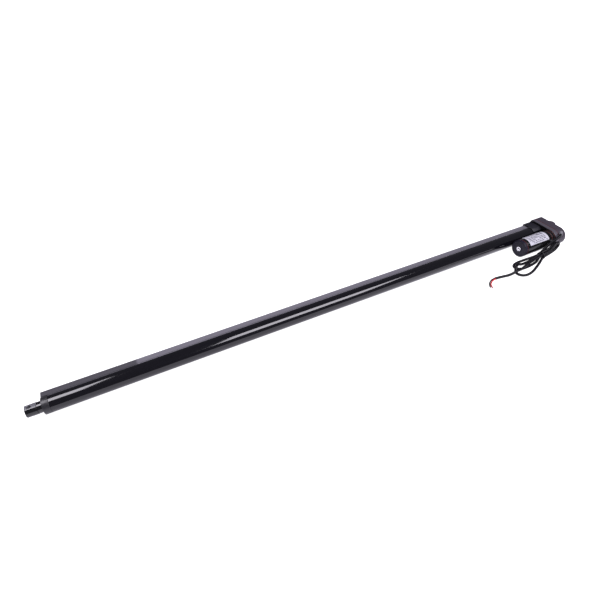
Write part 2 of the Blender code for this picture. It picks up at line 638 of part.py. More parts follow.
def make_cable(rear_cover):
    place, direction = gland_place()
    gland = turned("cable_gland", [
        (0, GLAND_LENGTH), (3.4, GLAND_LENGTH), (4.1, 0.0), (4.1, -4.5), (0, -4.5),
    ], BLACK_RUBBER, steps=STEPS_INSIDE)
    hole = rod("gland_hole", 4.4, -8, 8, collection=CUTTERS)
    for obj in (gland, hole):
        slanted(obj, place, direction)
    cut(rear_cover, hole)
    wire("cable", smooth_path(CABLE_ROUTE, CABLE_SPACING), CABLE_RADIUS, BLACK_RUBBER)

    slots = ((-72.9, -16.3), (-60.0, -16.3), (-63.15, -10.7), (-69.6, -10.7))
    spans = ((150, 270), (270, 390), (30, 90), (90, 150))
    loops = []
    for radius in (CABLE_RADIUS + 1.65, CABLE_RADIUS + 1.2):
        loop = []
        for slot, (start, end) in zip(slots, spans):
            loop += arc(slot, radius, start, end, 6)
        loops.append(loop)
    extruded("cable_tie", loops, TIE_X - 1.6, TIE_X + 1.6, DARK_PLASTIC)

    wires = (("black_wire", BLACK_ROUTE, BLACK_RUBBER), ("red_wire", RED_ROUTE, RED_WIRE))
    for name, route, look in wires:
        path = smooth_path(route, 3.5)
        wire(name, path, WIRE_RADIUS, look)
        heading = (path[-1] - path[-2]).normalized()
        start = path[-1] + heading * GAP
        tip = [start, start + heading * TINNED_LENGTH]
        wire(f"{name}_tip", tip, WIRE_RADIUS * 0.7, TIN)


make_tube()
make_limit_switches()
make_rod()
make_screw()
make_intermediate()
make_rotor()
make_motor()
make_cable(make_gearbox())
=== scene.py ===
"""The looks of a long electric linear actuator, lying on a white table.

Lengths are millimetres in the actuator's own axes, turned into the frame's metres by TO_WORLD:
    x  along the tube, from the rod's end to the gearbox, 0 at the tube's front end
    u  across the actuator, away from the motor
    w  up, 0 on the tube's axis
"""

import math
import random

import bmesh
import bpy
from mathutils import Euler, Matrix, Vector


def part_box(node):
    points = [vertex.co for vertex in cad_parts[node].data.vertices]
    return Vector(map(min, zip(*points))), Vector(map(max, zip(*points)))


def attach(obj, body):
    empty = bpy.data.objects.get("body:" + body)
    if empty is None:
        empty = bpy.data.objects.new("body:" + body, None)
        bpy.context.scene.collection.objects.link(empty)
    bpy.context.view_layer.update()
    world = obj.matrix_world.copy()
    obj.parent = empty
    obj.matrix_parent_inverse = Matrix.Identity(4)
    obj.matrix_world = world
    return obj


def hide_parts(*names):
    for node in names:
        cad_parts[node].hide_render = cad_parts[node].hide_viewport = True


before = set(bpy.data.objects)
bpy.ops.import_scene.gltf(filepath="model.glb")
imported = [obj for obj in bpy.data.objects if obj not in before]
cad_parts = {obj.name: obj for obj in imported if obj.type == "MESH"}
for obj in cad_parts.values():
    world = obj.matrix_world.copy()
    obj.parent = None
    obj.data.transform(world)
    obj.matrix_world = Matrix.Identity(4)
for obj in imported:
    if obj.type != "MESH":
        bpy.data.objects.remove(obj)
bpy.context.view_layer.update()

MM = 0.001


def middle(node, axis):
    """The middle of a CAD node's box along a world axis, in metres."""
    low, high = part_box(node)
    return (low[axis] + high[axis]) / 2


ORIGIN = Vector((
    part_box("outer_tube")[0].x, middle("extension_tube", 1), middle("extension_tube", 2),
))
TO_WORLD = Matrix.Translation(ORIGIN) @ Matrix.Scale(MM, 4)


def reach(node):
    """How far a CAD node reaches along the tube: its lowest and highest x."""
    low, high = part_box(node)
    return (low.x - ORIGIN.x) / MM, (high.x - ORIGIN.x) / MM


def half_height_of(node):
    """Half a CAD node's height, which is the radius of a round one that lies along x."""
    low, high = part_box(node)
    return (high.z - low.z) / 2 / MM


TUBE_AXIS = (0.0, 0.0)
MOTOR_AXIS = ((middle("motor_can", 1) - ORIGIN.y) / MM, (middle("motor_can", 2) - ORIGIN.z) / MM)
TUBE_RADIUS = half_height_of("front_cap")
TUBE_LENGTH = reach("outer_tube")[1]
BLOCK_HALF_HEIGHT = 13.25
BLOCK_BACK = (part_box("outer_tube")[1].y - ORIGIN.y) / MM
BORE_RADIUS = 12.3
CAP_LENGTH = 11.2
ROD_RADIUS = half_height_of("extension_tube")
ROD_BORE = 7.8
PIN_HOLE_RADIUS = 3.25
FRONT_HOLE_X = -20.0
REAR_HOLE_X = 1166.0
LUG_RADIUS = reach("gearbox_rear_cover")[1] - REAR_HOLE_X
LUG_HALF_HEIGHT = 10.0
MOTOR_RADIUS = half_height_of("motor_can")
GEARBOX_HALF_HEIGHT = half_height_of("gearbox_front_housing")
GEARBOX_BACK = (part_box("gearbox_front_housing")[1].y - ORIGIN.y) / MM
GEARBOX_REAR = 1153.0
GEARBOX_CORNER = 6.0
AXIS_DISTANCE = -MOTOR_AXIS[0]
CABLE_RADIUS = 3.0
WIRE_RADIUS = 1.4
GLAND_LENGTH = 18.0
FLOOR = -GEARBOX_HALF_HEIGHT
CLEARANCE = 0.3                   # left where one piece sits in another
PAST = 1                          # how far a cutter goes past what it cuts
WELD = 1e-4                       # points nearer than this become one

# The camera: where it stands over the table, and its view as turned left, tipped down and rolled
CAMERA_PLACE = (200.288, -594.481, 598.972)
CAMERA_TURN, CAMERA_DOWN, CAMERA_ROLL = -24.78, 40.57, -2.23
LENS, SENSOR = 26.658, 36.0


# Camera

def add_camera():
    data = bpy.data.cameras.new("camera")
    data.lens = LENS
    data.sensor_width = SENSOR
    data.clip_start = 0.01
    data.clip_end = 100
    camera = bpy.data.objects.new("camera", data)
    turn = Euler((0, 0, math.radians(CAMERA_TURN))).to_matrix()
    tip = Euler((math.radians(90 - CAMERA_DOWN), 0, 0)).to_matrix()
    roll = Euler((0, 0, math.radians(CAMERA_ROLL))).to_matrix()
    place = TO_WORLD @ Vector(CAMERA_PLACE)
    camera.matrix_world = Matrix.Translation(place) @ (turn @ tip @ roll).to_4x4()
    bpy.context.scene.collection.objects.link(camera)
    bpy.context.scene.camera = camera


# Routes of the cable and its two wires, as (x, u, w) points

LOW = FLOOR + CABLE_RADIUS + 0.05             # the axis of a cable that lies on the table
TIE_X = 1070.0
CABLE_ROUTE = [
    (1124.5, -60.1, 20.7), (1116.8, -63.7, 20.6), (1108.0, -63.2, 15.4), (1099.8, -61.0, 8.6),
    (1092.0, -59.6, 0.6), (1085.0, -59.0, -6.6), (1077.5, -59.0, -13.2),
    (TIE_X, -60.0, -16.3), (1058.0, -60.2, -17.4), (1040.0, -59.3, LOW), (1020.0, -58.6, LOW),
    (1002.5, -58.8, LOW), (990.5, -61.8, LOW), (984.6, -68.2, LOW), (986.4, -76.0, LOW),
    (994.5, -80.6, LOW), (1005.0, -81.6, LOW), (1018.0, -81.2, LOW), (1033.0, -79.2, LOW),
    (1047.0, -75.4, LOW), (1059.0, -69.3, -17.6), (TIE_X, -66.3, -16.3), (1083.0, -65.0, -17.3),
    (1096.0, -63.6, -17.4), (1108.0, -62.2, -15.4), (1116.0, -61.0, -8.8), (1116.8, -61.0, 0.2),
    (1109.0, -63.4, 5.4), (1098.0, -65.9, 1.2), (1086.5, -65.8, -4.8), (1078.0, -64.3, -8.2),
    (TIE_X, -63.15, -10.7), (1058.0, -64.6, -12.9), (1046.0, -66.2, -15.7),
    (1031.0, -67.6, LOW + 0.2), (1014.0, -68.6, LOW + 0.2), (1003.0, -69.2, -15.8),
    (994.5, -70.2, -12.1), (986.3, -72.2, -11.0), (980.4, -75.6, -12.2), (975.2, -80.6, -16.7),
    (972.0, -87.6, LOW), (973.2, -94.6, LOW), (979.2, -100.2, LOW), (989.0, -102.6, LOW),
    (1001.0, -101.4, LOW), (1015.0, -97.2, LOW), (1031.0, -90.6, LOW), (1046.0, -83.8, LOW),
    (1058.5, -77.6, -17.6), (TIE_X, -72.9, -16.3), (1084.0, -71.6, -14.4), (1096.0, -70.2, -13.2),
    (1107.0, -68.8, -11.4), (1115.0, -68.0, -6.6), (1118.2, -67.8, 1.0), (1114.2, -68.0, 7.4),
    (1106.0, -69.4, 9.2), (1097.0, -71.6, 4.8), (1087.5, -72.9, -2.2), (1079.5, -72.2, -7.2),
    (TIE_X, -69.6, -10.7), (1058.0, -71.0, -11.0), (1045.0, -72.6, -11.5),
    (1032.0, -75.4, -11.5), (1020.0, -78.0, -11.4), (1009.0, -80.4, -11.5), (998.5, -82.9, -12.0),
    (988.0, -85.2, -13.0), (979.0, -86.8, -11.7), (971.0, -87.4, -11.2), (962.0, -86.8, -14.2),
    (951.0, -84.8, -17.4), (937.5, -82.2, LOW), (925.0, -80.3, LOW), (916.0, -79.4, LOW),
]
WIRE_LOW = FLOOR + WIRE_RADIUS + 0.05
BLACK_ROUTE = [
    (915.0, -77.95, LOW), (908.0, -78.2, -18.9), (899.0, -82.0, WIRE_LOW),
    (891.4, -88.6, WIRE_LOW), (886.8, -95.4, WIRE_LOW),
]
RED_ROUTE = [
    (915.0, -80.85, LOW), (908.0, -81.4, -18.9), (900.2, -84.9, WIRE_LOW),
    (893.7, -90.5, WIRE_LOW), (889.6, -98.8, WIRE_LOW),
]
TINNED_LENGTH = 3.5
CABLE_STEP, WIRE_STEP = 2.4, 1.2              # between the points of their curves


def smooth_path(route, spacing):
    """Points about spacing apart on one Catmull-Rom curve through a route of (x, u, w) points."""
    points = [Vector(p) for p in route]
    ends = [2 * points[0] - points[1], *points, 2 * points[-1] - points[-2]]
    fine, steps = [], 24
    for i in range(len(points) - 1):
        before, start, end, after = ends[i:i + 4]
        for step in range(steps):
            t = step / steps
            fine.append(0.5 * (
                2 * start + (end - before) * t
                + (2 * before - 5 * start + 4 * end - after) * t ** 2
                + (3 * start - before - 3 * end + after) * t ** 3
            ))
    fine.append(points[-1])
    run = [0.0]
    for a, b in zip(fine, fine[1:]):
        run.append(run[-1] + (b - a).length)
    count = max(2, round(run[-1] / spacing))
    path, at = [], 0
    for i in range(count + 1):
        distance = run[-1] * i / count
        while at < len(fine) - 2 and run[at + 1] < distance:
            at += 1
        share = (distance - run[at]) / (run[at + 1] - run[at])
        path.append(fine[at].lerp(fine[at + 1], share))
    return path


# Materials

BUMP_DEPTH = 0.0002               # metres


def socket(shader, name, value):
    shader.inputs[name].default_value = value


def finish(
    name, colour, roughness, metallic=0.0, ior=1.5, uneven=0.0, tint=0.0, scale=120.0,
    stretch=(1, 1, 1), bump=0.0, bump_scale=900.0, worn=None,
):
    """A Principled material with noise in its colour, roughness and surface.

    uneven and tint are shares of the roughness and the colour; scale and bump_scale are the
    noise's, per metre, stretched by stretch; worn is the colour that shows along edges.
    """
    made = bpy.data.materials.new(name)
    made.use_nodes = True
    nodes, links = made.node_tree.nodes, made.node_tree.links
    shader = nodes["Principled BSDF"]
    socket(shader, "Metallic", metallic)
    socket(shader, "IOR", ior)

    place = nodes.new("ShaderNodeTexCoord")
    mapping = nodes.new("ShaderNodeMapping")
    mapping.inputs["Scale"].default_value = stretch
    links.new(place.outputs["Object"], mapping.inputs["Vector"])
    noise = nodes.new("ShaderNodeTexNoise")
    socket(noise, "Scale", scale)
    socket(noise, "Detail", 5.0)
    links.new(mapping.outputs["Vector"], noise.inputs["Vector"])

    rough = nodes.new("ShaderNodeMapRange")
    socket(rough, "From Min", 0.3)
    socket(rough, "From Max", 0.7)
    socket(rough, "To Min", roughness * (1 - uneven))
    socket(rough, "To Max", roughness * (1 + uneven))
    links.new(noise.outputs["Fac"], rough.inputs["Value"])
    links.new(rough.outputs["Result"], shader.inputs["Roughness"])

    shade = nodes.new("ShaderNodeMix")
    shade.data_type = "RGBA"
    shade.inputs["A"].default_value = (*(c * (1 - tint) for c in colour), 1)
    shade.inputs["B"].default_value = (*(min(1.0, c * (1 + tint)) for c in colour), 1)
    links.new(noise.outputs["Fac"], shade.inputs["Factor"])
    result = shade.outputs["Result"]
    if worn:
        # Pointiness is 0.5 on a flat face and rises along an edge that stands out
        geometry = nodes.new("ShaderNodeNewGeometry")
        edge = nodes.new("ShaderNodeMapRange")
        socket(edge, "From Min", 0.53)
        socket(edge, "From Max", 0.66)
        links.new(geometry.outputs["Pointiness"], edge.inputs["Value"])
        patchy = nodes.new("ShaderNodeMath")
        patchy.operation = "MULTIPLY"
        links.new(edge.outputs["Result"], patchy.inputs[0])
        links.new(noise.outputs["Fac"], patchy.inputs[1])
        rub = nodes.new("ShaderNodeMix")
        rub.data_type = "RGBA"
        rub.inputs["B"].default_value = (*worn, 1)
        links.new(result, rub.inputs["A"])
        links.new(patchy.outputs["Value"], rub.inputs["Factor"])
        result = rub.outputs["Result"]
    links.new(result, shader.inputs["Base Color"])

    if bump:
        fine = nodes.new("ShaderNodeTexNoise")
        socket(fine, "Scale", bump_scale)
        socket(fine, "Detail", 3.0)
        links.new(mapping.outputs["Vector"], fine.inputs["Vector"])
        relief = nodes.new("ShaderNodeBump")
        socket(relief, "Strength", bump)
        socket(relief, "Distance", BUMP_DEPTH)
        links.new(fine.outputs["Fac"], relief.inputs["Height"])
        links.new(relief.outputs["Normal"], shader.inputs["Normal"])
    return made


def painted_reflection_step(made, split_x, share):
    """Multiplies a material's colour by share where x is under split_x, a painted reflection that
    ends at split_x.
    """
    nodes, links = made.node_tree.nodes, made.node_tree.links
    shader = nodes["Principled BSDF"]
    was = shader.inputs["Base Color"].links[0].from_socket
    place = nodes.new("ShaderNodeTexCoord")
    axes = nodes.new("ShaderNodeSeparateXYZ")
    links.new(place.outputs["Object"], axes.inputs["Vector"])
    step = nodes.new("ShaderNodeMapRange")
    world_x, fade = (TO_WORLD @ Vector((split_x, 0, 0))).x, 0.002
    socket(step, "From Min", world_x - fade)
    socket(step, "From Max", world_x + fade)
    socket(step, "To Min", share)
    socket(step, "To Max", 1.0)
    links.new(axes.outputs["X"], step.inputs["Value"])
    scaled = nodes.new("ShaderNodeVectorMath")
    scaled.operation = "SCALE"
    links.new(was, scaled.inputs[0])
    links.new(step.outputs["Result"], scaled.inputs["Scale"])
    links.new(scaled.outputs["Vector"], shader.inputs["Base Color"])
    return made


ALONG = (0.02, 1, 1)              # die lines that run along the tube

ANODISED = finish(
    "anodised_gloss", (0.0034, 0.0032, 0.0052), 0.085, ior=1.6, uneven=0.35, tint=0.3,
    scale=700, stretch=ALONG, bump=0.05, bump_scale=1500,
)
# Lighter satin for level faces, painted sheen on the round tube's top; darker over the first 158
# mm as a painted reflection, where the level faces mirror a darker part of the room
ANODISED_SATIN_AND_SHEEN = painted_reflection_step(finish(
    "anodised_satin_and_sheen", (0.182, 0.175, 0.202), 0.36, ior=1.5, uneven=0.2, tint=0.08, scale=900,
    stretch=ALONG, bump=0.08, bump_scale=1800,
), split_x=158.0, share=0.42)
ROD_BLACK = finish(
    "rod_black", (0.004, 0.004, 0.005), 0.1, ior=1.65, uneven=0.3, tint=0.3, scale=500,
    stretch=(1, 0.1, 0.1), bump=0.03,
)
BARE_METAL = finish(
    "bare_metal", (0.24, 0.24, 0.26), 0.5, 0.6, uneven=0.45, tint=0.45, scale=420, bump=0.5,
    bump_scale=700,
)
CAP_MATT = finish(
    "front_cap_matt", (0.02, 0.02, 0.023), 0.36, ior=1.55, uneven=0.15, tint=0.2, scale=500,
    bump=0.15,
)
ADAPTER_PAINT = finish(
    "adapter_paint", (0.009, 0.0085, 0.014), 0.42, ior=1.38, uneven=0.2, tint=0.15, scale=160,
    bump=0.22, bump_scale=650, worn=(0.07, 0.07, 0.08),
)
PAINT = finish(
    "casting_paint", (0.076, 0.069, 0.085), 0.42, ior=1.45, uneven=0.2, tint=0.15, scale=160,
    bump=0.22, bump_scale=650, worn=(0.1, 0.1, 0.11),
)
PAINT_DARK = finish(
    "rear_casting_paint", (0.054, 0.046, 0.06), 0.4, ior=1.36, uneven=0.2, tint=0.15, scale=160,
    bump=0.22, bump_scale=650, worn=(0.08, 0.08, 0.09),
)
GLOSS_BLACK = finish(
    "motor_gloss", (0.004, 0.004, 0.0045), 0.17, uneven=0.2, tint=0.2, scale=300, bump=0.05,
)
CAP_PLASTIC = finish(
    "end_cap_plastic", (0.008, 0.0065, 0.018), 0.45, ior=1.38, uneven=0.15, tint=0.12,
    scale=300, bump=0.18,
)
GASKET = finish(
    "gasket_rubber", (0.12, 0.009, 0.008), 0.5, uneven=0.2, tint=0.3, scale=500, bump=0.1,
)
SHEATH = finish(
    "cable_sheath", (0.0035, 0.0032, 0.0058), 0.45, ior=1.36, uneven=0.2, tint=0.2, scale=400,
    bump=0.12,
)
GLAND = finish("gland_rubber", (0.2, 0.2, 0.22), 0.45, uneven=0.15, tint=0.2, bump=0.15)
RUBBER = finish("black_rubber", (0.008, 0.008, 0.009), 0.55, uneven=0.15, tint=0.2, bump=0.15)
RED_PVC = finish("red_wire_pvc", (0.62, 0.016, 0.03), 0.35, uneven=0.15, tint=0.12, bump=0.06)
TIE_PLASTIC = finish("tie_plastic", (0.012, 0.012, 0.013), 0.3, uneven=0.2, tint=0.2, bump=0.1)
FILM = finish("label_film", (0.57, 0.565, 0.625), 0.42, uneven=0.1, tint=0.04, scale=90, bump=0.03)
INK = finish("label_ink", (0.05, 0.05, 0.07), 0.5, uneven=0.1, tint=0.3, scale=300)
STEEL = finish(
    "steel", (0.5, 0.5, 0.51), 0.32, 1.0, uneven=0.3, tint=0.15, scale=300, bump=0.1
)
BRIGHT = finish("bright_steel", (0.86, 0.86, 0.88), 0.16, 1.0, uneven=0.3, tint=0.05, bump=0.03)
BRASS = finish("brass", (0.62, 0.42, 0.17), 0.28, 1.0, uneven=0.3, tint=0.15, bump=0.06)
COPPER = finish("copper", (0.7, 0.29, 0.14), 0.32, 1.0, uneven=0.2, tint=0.2, bump=0.3)
NYLON = finish("nylon", (0.7, 0.69, 0.62), 0.42, uneven=0.15, tint=0.06, bump=0.05)
FERRITE = finish("ferrite", (0.05, 0.05, 0.054), 0.7, uneven=0.15, tint=0.3, bump=0.3)
CARBON = finish("carbon", (0.035, 0.035, 0.036), 0.6, uneven=0.2, tint=0.3, bump=0.2)
BOARD = finish("circuit_board", (0.015, 0.12, 0.05), 0.35, uneven=0.2, tint=0.2, bump=0.05)
PLASTIC = finish("black_plastic", (0.02, 0.02, 0.022), 0.45, uneven=0.15, tint=0.2, bump=0.12)
TINNED = finish("tinned_copper", (0.75, 0.75, 0.76), 0.3, 1.0, uneven=0.3, tint=0.1, bump=0.4)


# Outlines in the (u, w) plane, anticlockwise

def arc(centre, radius, start, end, count):
    """Points along an arc, both ends included; angles in degrees."""
    angles = [math.radians(start + (end - start) * i / (count - 1)) for i in range(count)]
    return [(centre[0] + radius * math.cos(a), centre[1] + radius * math.sin(a)) for a in angles]


def circle(centre, radius, count):
    return arc(centre, radius, 0, 360, count + 1)[:-1]


def rounded_box(low, high, near_radius, far_radius, count=10):
    """A box from low to high whose corners at low u and at high u have their own radii."""
    (u0, w0), (u1, w1), near, far = low, high, near_radius, far_radius
    return (
        arc((u1 - far, w0 + far), far, -90, 0, count)
        + arc((u1 - far, w1 - far), far, 0, 90, count)
        + arc((u0 + near, w1 - near), near, 90, 180, count)
        + arc((u0 + near, w0 + near), near, 180, 270, count)
    )


def keyhole(grow=0.0):
    """The extrusion's outside: a round tube that a block, flat above and below, runs out of."""
    radius = TUBE_RADIUS + grow
    half, back = BLOCK_HALF_HEIGHT + grow, BLOCK_BACK + grow
    corner = 1.2
    meet = math.degrees(math.asin(half / radius))
    block = arc((back - corner, -half + corner), corner, -90, 0, 8)
    block += arc((back - corner, half - corner), corner, 0, 90, 8)
    return block + arc(TUBE_AXIS, radius, meet, 360 - meet, 132)


def gearbox_outline(inset=0.0):
    corner = GEARBOX_CORNER - inset
    u, w = GEARBOX_BACK - GEARBOX_CORNER, GEARBOX_HALF_HEIGHT - GEARBOX_CORNER
    return (
        arc((u, -w), corner, -90, 0, 16)
        + arc((u, w), corner, 0, 90, 16)
        + arc(MOTOR_AXIS, GEARBOX_HALF_HEIGHT - inset, 90, 270, 60)
    )


def adapter_outline():
    """A saddle over the tube's back, with slanting jaws that stop short of the motor."""
    half, corner = half_height_of("tube_adapter"), 3.0
    corner_u = GEARBOX_BACK - 4.0
    slant_u, jaw_u, slant = -6.0, -11.5, 4.6
    return (
        arc((corner_u, corner - half), corner, -90, 0, 12)
        + arc((corner_u, half - corner), corner, 0, 90, 12)
        + [(slant_u, half), (jaw_u, half - slant), (jaw_u, slant - half), (slant_u, -half)]
    )


def cavity_outline():
    """Room for the gears: a belt round the output gear and the motor's pinion."""
    large, small = 18.3, 8.0
    tangent = 180 - math.degrees(math.acos((large - small) / AXIS_DISTANCE))
    return (
        arc(TUBE_AXIS, large, -tangent, tangent, 40)
        + arc(MOTOR_AXIS, small, tangent, 360 - tangent, 28)
    )


# Pieces from those outlines

SHARP = math.radians(32)


def placed(name, work, look):
    """An object from a bmesh in the actuator's axes."""
    bmesh.ops.remove_doubles(work, verts=work.verts, dist=WELD)
    bmesh.ops.recalc_face_normals(work, faces=work.faces)
    mesh = bpy.data.meshes.new(name)
    work.to_mesh(mesh)
    work.free()
    mesh.transform(TO_WORLD)
    if look:
        mesh.materials.append(look)
    obj = bpy.data.objects.new(name, mesh)
    bpy.context.scene.collection.objects.link(obj)
    round_shading(mesh)
    return obj


def round_shading(mesh):
    mesh.shade_smooth()
    mesh.set_sharp_from_angle(angle=SHARP)


def extruded(name, outline, x0, x1, look=None, front_edge=0.0, rear_edge=0.0, segments=4):
    """An outline drawn out from x0 to x1, with rounded edges where it starts and ends."""
    work = bmesh.new()
    rings = [[work.verts.new((x, u, w)) for u, w in outline] for x in (x0, x1)]
    count = len(outline)
    for i in range(count):
        j = (i + 1) % count
        work.faces.new((rings[0][i], rings[0][j], rings[1][j], rings[1][i]))
    caps = [work.faces.new(end) for end in rings]
    bmesh.ops.recalc_face_normals(work, faces=work.faces)
    for cap, edge in zip(caps, (front_edge, rear_edge)):
        if edge:
            bmesh.ops.bevel(
                work, geom=list(cap.edges), offset=edge, segments=segments, profile=0.5,
                affect="EDGES", clamp_overlap=False,
            )
    return placed(name, work, look)


def softened(profile, radius, closed):
    """A profile of (radius, x) points with each corner rounded."""
    count, result = len(profile), []
    steps, most = 4, 0.45         # a corner takes at most this share of an edge
    for i, point in enumerate(profile):
        at = Vector(point)
        if not closed and i in (0, count - 1):
            result.append(tuple(at))
            continue
        before, after = Vector(profile[i - 1]), Vector(profile[(i + 1) % count])
        size = min(radius, (before - at).length * most, (after - at).length * most)
        start = at + (before - at).normalized() * size
        end = at + (after - at).normalized() * size
        for step in range(steps + 1):
            t = step / steps
            bend = start * (1 - t) ** 2 + at * 2 * t * (1 - t) + end * t ** 2
            result.append(tuple(bend))
    return result


def turned_work(profile, centre, steps, soft):
    """A bmesh of a (radius, x) profile turned about a line through centre."""
    solid = profile[0][0] == 0
    points = softened(profile, soft, not solid) if soft else profile
    work = bmesh.new()
    rings = []
    for step in range(steps):
        angle = 2 * math.pi * step / steps
        across, up = math.cos(angle), math.sin(angle)
        rings.append([
            work.verts.new((x, centre[0] + r * across, centre[1] + r * up)) for r, x in points
        ])
    count = len(points)
    for step in range(steps):
        here, there = rings[step], rings[(step + 1) % steps]
        for i in range(count - 1 if solid else count):
            j = (i + 1) % count
            work.faces.new((here[i], here[j], there[j], there[i]))
    if solid:
        bmesh.ops.remove_doubles(work, verts=work.verts, dist=WELD)
    return work


def turned(name, profile, look=None, centre=TUBE_AXIS, steps=96, soft=0.3):
    return placed(name, turned_work(profile, centre, steps, soft), look)


def ring(name, inner, outer, x0, x1, look=None, centre=TUBE_AXIS, steps=96, soft=0.3):
    profile = [(outer, x1), (outer, x0), (inner, x0), (inner, x1)]
    return turned(name, profile, look, centre, steps, soft)


def rod(name, radius, x0, x1, look=None, centre=TUBE_AXIS, steps=64, soft=0.0):
    profile = [(0, x1), (radius, x1), (radius, x0), (0, x0)]
    return turned(name, profile, look, centre, steps, soft)


def standing_pin(name, radius, x, half_height, chamfer_at):
    """A cutter standing along w on the tube's axis, wider past the faces at w = +-chamfer_at."""
    chamfer, count = 0.7, 64
    levels = [
        (radius + chamfer + half_height - chamfer_at, -half_height),
        (radius, -chamfer_at + chamfer),
        (radius, chamfer_at - chamfer),
        (radius + chamfer + half_height - chamfer_at, half_height),
    ]
    work = bmesh.new()
    rings = [
        [work.verts.new((x + a, b, w)) for a, b in circle((0, 0), r, count)] for r, w in levels
    ]
    for below, above in zip(rings, rings[1:]):
        for i in range(count):
            j = (i + 1) % count
            work.faces.new((below[i], below[j], above[j], above[i]))
    work.faces.new(rings[0])
    work.faces.new(rings[-1])
    return placed(name, work, None)


def carved(obj, *cutters, join=()):
    """The object with the cutters taken away and the objects in join added; uses them up."""
    for other in (*join, *cutters):
        boolean = obj.modifiers.new(other.name, "BOOLEAN")
        boolean.operation = "UNION" if other in join else "DIFFERENCE"
        boolean.solver = "EXACT"
        boolean.object = other
    bpy.context.view_layer.update()
    graph = bpy.context.evaluated_depsgraph_get()
    mesh = bpy.data.meshes.new_from_object(obj.evaluated_get(graph))
    obj.modifiers.clear()
    obj.data = mesh
    for other in (*join, *cutters):
        bpy.data.objects.remove(other, do_unlink=True)
    round_shading(mesh)
    return obj


def stands_for(obj, body, slot, *nodes):
    """Puts a finished piece on its body, in place of its CAD nodes."""
    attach(obj, body)
    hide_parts(*nodes)
    return obj


def refaced(obj, look, wanted):
    """Gives faces another look where wanted(centre, normal), in the actuator's axes, says so."""
    mesh = obj.data
    mesh.materials.append(look)
    to_axes = TO_WORLD.inverted()
    for face in mesh.polygons:
        if wanted(to_axes @ face.center, face.normal):
            face.material_index = len(mesh.materials) - 1
    return obj


# Outer tube and front cap

def make_tube():
    tube = extruded("tube_extrusion", keyhole(), 0, TUBE_LENGTH, ANODISED, 0.25, 0.25, 3)
    channel = rounded_box((14.0, -9.5), (18.4, 9.5), 1.0, 1.0)
    bore = rod("bore", BORE_RADIUS, -PAST, TUBE_LENGTH + PAST, steps=96)
    hollow = extruded("hollow", channel, -PAST, TUBE_LENGTH + PAST)
    seat = rod("seat", TUBE_RADIUS + CLEARANCE, -2, CAP_LENGTH + CLEARANCE, steps=120)
    carved(tube, bore, hollow, seat)
    sheen_from, skin = 4.2, 13    # a u, and a w that the hollow's walls don't reach

    def satin_and_painted_sheen(centre, normal):
        """The block's flats, a lighter and rougher satin, and the nearly level faces of the round
        tube from sheen_from on, where the same lighter grey is painted sheen along the tube's top.
        """
        return centre.y > sheen_from and abs(normal.z) > 0.9 and abs(centre.z) > skin

    # Lighter grey on level faces: the flats' own satin, and painted sheen on the round tube's top
    refaced(tube, ANODISED_SATIN_AND_SHEEN, satin_and_painted_sheen)
    stands_for(tube, "housing", "black_anodised", "outer_tube")

    inner, plug, end = ROD_RADIUS + CLEARANCE, BORE_RADIUS - CLEARANCE, 22
    groove, groove_from, groove_to = 12.6, 1.5, 5.5
    cap = turned("front_cap_ring", [
        (plug, end), (plug, CAP_LENGTH), (TUBE_RADIUS, CAP_LENGTH), (TUBE_RADIUS, 0), (inner, 0),
        (inner, groove_from), (groove, groove_from), (groove, groove_to), (inner, groove_to),
        (inner, end),
    ], CAP_MATT, steps=120, soft=0.5)
    stands_for(cap, "housing", "dark_plastic", "front_cap")


# Rod and its end fitting

def make_rod():
    x0, x1 = reach("extension_tube")
    tube = ring("rod_tube", ROD_BORE, ROD_RADIUS, x0, x1, ROD_BLACK, steps=120, soft=0.25)
    stands_for(tube, "rod", "black_anodised", "extension_tube")

    tip = reach("rod_end")[0]
    head, flat, shoulder = 10.3, 9.4, -8.5
    spigot, spigot_end = 7.5, 12
    fitting = turned("rod_end_fitting", [
        (0, spigot_end), (spigot, spigot_end), (spigot, shoulder), (head, shoulder), (head, tip),
        (0, tip),
    ], ROD_BLACK, steps=120, soft=0.5)
    for side in (1, -1):
        square = rounded_box((-12, flat), (12, flat + 5), 0.1, 0.1, 2)
        if side < 0:
            square = [(u, -w) for u, w in square]
        carved(fitting, extruded("flat", square, tip - 2, -8.3))
    carved(fitting, standing_pin("pin_hole", PIN_HOLE_RADIUS, FRONT_HOLE_X, 14, flat))
    rim = PIN_HOLE_RADIUS + 1.2

    def machined(centre, normal):
        """The two flats, the pin hole and its rim, none of the shoulder or the tip."""
        hole = math.hypot(centre.x - FRONT_HOLE_X, centre.y) < rim
        return centre.x < -8.4 and (abs(normal.z) > 0.98 or hole and abs(normal.x) < 0.999)

    refaced(fitting, BARE_METAL, machined)
    stands_for(fitting, "rod", "steel", "rod_end")


# Motor, from its free end to the gearbox

